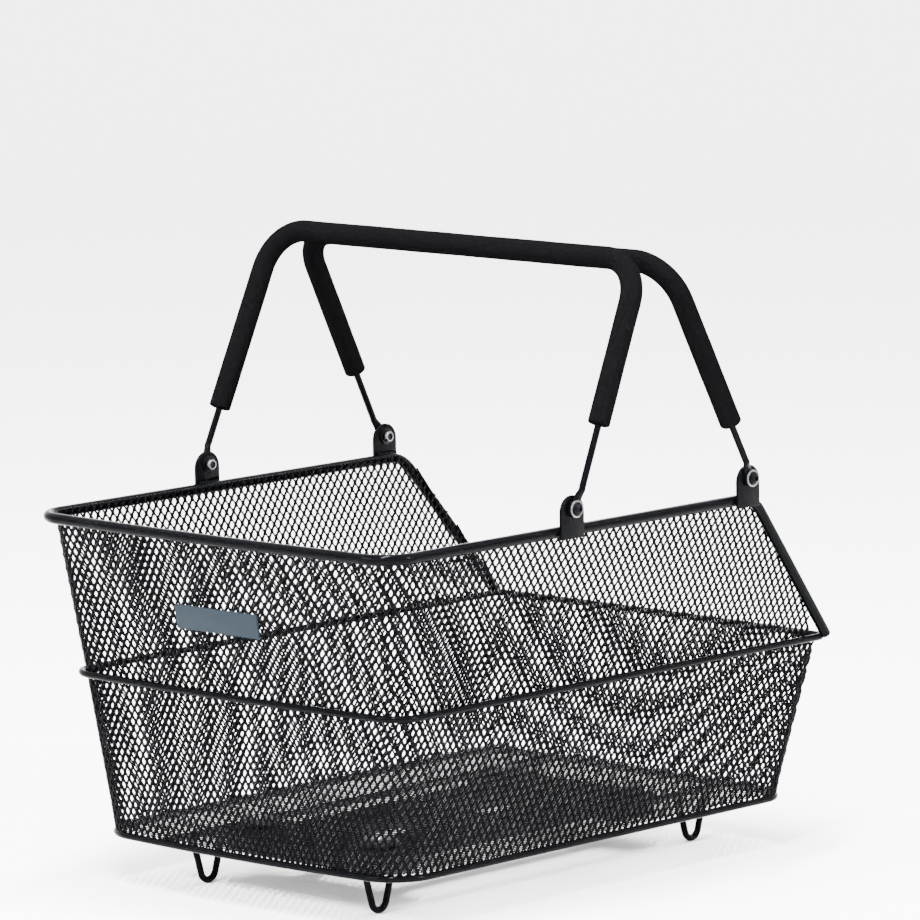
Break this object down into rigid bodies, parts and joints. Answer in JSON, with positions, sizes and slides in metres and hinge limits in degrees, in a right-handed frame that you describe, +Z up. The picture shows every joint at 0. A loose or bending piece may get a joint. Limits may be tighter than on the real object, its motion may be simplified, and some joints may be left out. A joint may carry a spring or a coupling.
{
  "type": "bicycle carrier basket",
  "caption": "Tapered expanded-metal carrier basket with a tubular rim, a stepped-down low end, two folding foam-gripped handles, wire feet and a clamped adapter plate.",
  "frame": {"origin": "on the ground under the middle of the basket, level with the bottoms of the wire feet", "axes": "+Z up; X across the basket; +Y towards the low end, so the high end with the badge is at -Y"},
  "size_m": [0.3843, 0.4926, 0.4621],
  "materials": {
    "gloss_black_coat": "gloss powder coat",
    "satin_black_coat": "satin powder coat",
    "black_foam": "matte closed-cell foam",
    "bright_steel": "zinc plated",
    "dark_steel": "black oxide",
    "badge_grey": "satin blue-grey paint",
    "black_plastic": "fine matte moulding"
  },
  "bodies": {
    "basket": {"rim_tube": "gloss_black_coat", "mid_hoop": "gloss_black_coat", "base_hoop": "gloss_black_coat", "runner_wire_left": "gloss_black_coat", "runner_wire_right": "gloss_black_coat", "foot_high_left": "gloss_black_coat", "foot_high_right": "gloss_black_coat", "foot_low_left": "gloss_black_coat", "foot_low_right": "gloss_black_coat", "bracket_high_left": "gloss_black_coat", "bracket_high_right": "gloss_black_coat", "bracket_low_left": "gloss_black_coat", "bracket_low_right": "gloss_black_coat", "mesh_high_end": "satin_black_coat", "mesh_low_end": "satin_black_coat", "mesh_side_left": "satin_black_coat", "mesh_side_right": "satin_black_coat", "mesh_floor": "satin_black_coat", "pivot_bolt_high_left": "dark_steel", "pivot_bolt_high_right": "dark_steel", "pivot_bolt_low_left": "dark_steel", "pivot_bolt_low_right": "dark_steel", "inner_washer_high_left": "dark_steel", "inner_washer_high_right": "dark_steel", "inner_washer_low_left": "dark_steel", "inner_washer_low_right": "dark_steel", "outer_washer_high_left": "bright_steel", "outer_washer_high_right": "bright_steel", "outer_washer_low_left": "bright_steel", "outer_washer_low_right": "bright_steel", "pivot_nut_high_left": "bright_steel", "pivot_nut_high_right": "bright_steel", "pivot_nut_low_left": "bright_steel", "pivot_nut_low_right": "bright_steel", "badge_plate": "badge_grey", "badge_backing": "black_plastic", "adapter_plate": "black_plastic", "clamp_disc_1": "black_plastic", "clamp_disc_2": "black_plastic", "clamp_disc_3": "black_plastic", "clamp_disc_4": "black_plastic", "clamp_screw_1": "bright_steel", "clamp_screw_2": "bright_steel", "clamp_screw_3": "bright_steel", "clamp_screw_4": "bright_steel"},
    "handle_high": {"handle_rod_high": "gloss_black_coat", "grip_high": "black_foam"},
    "handle_low": {"handle_rod_low": "gloss_black_coat", "grip_low": "black_foam"},
    "latch": {"latch_slide": "black_plastic"}
  },
  "joints": [
    {"name": "high_handle_swing", "type": "hinge", "parent": "basket", "child": "handle_high", "pos_m": [0, -0.0564, 0.286], "axis": [1, 0, 0], "range_deg": [-2.2, 115]},
    {"name": "low_handle_swing", "type": "hinge", "parent": "basket", "child": "handle_low", "pos_m": [0, 0.1341, 0.286], "axis": [-1, 0, 0], "range_deg": [-2.2, 152]},
    {"name": "latch_press", "type": "slide", "parent": "basket", "child": "latch", "axis": [0, 1, 0], "range_m": [0, 0.005], "stiffness_N_per_m": 300, "springref_m": -0.003}
  ]
}
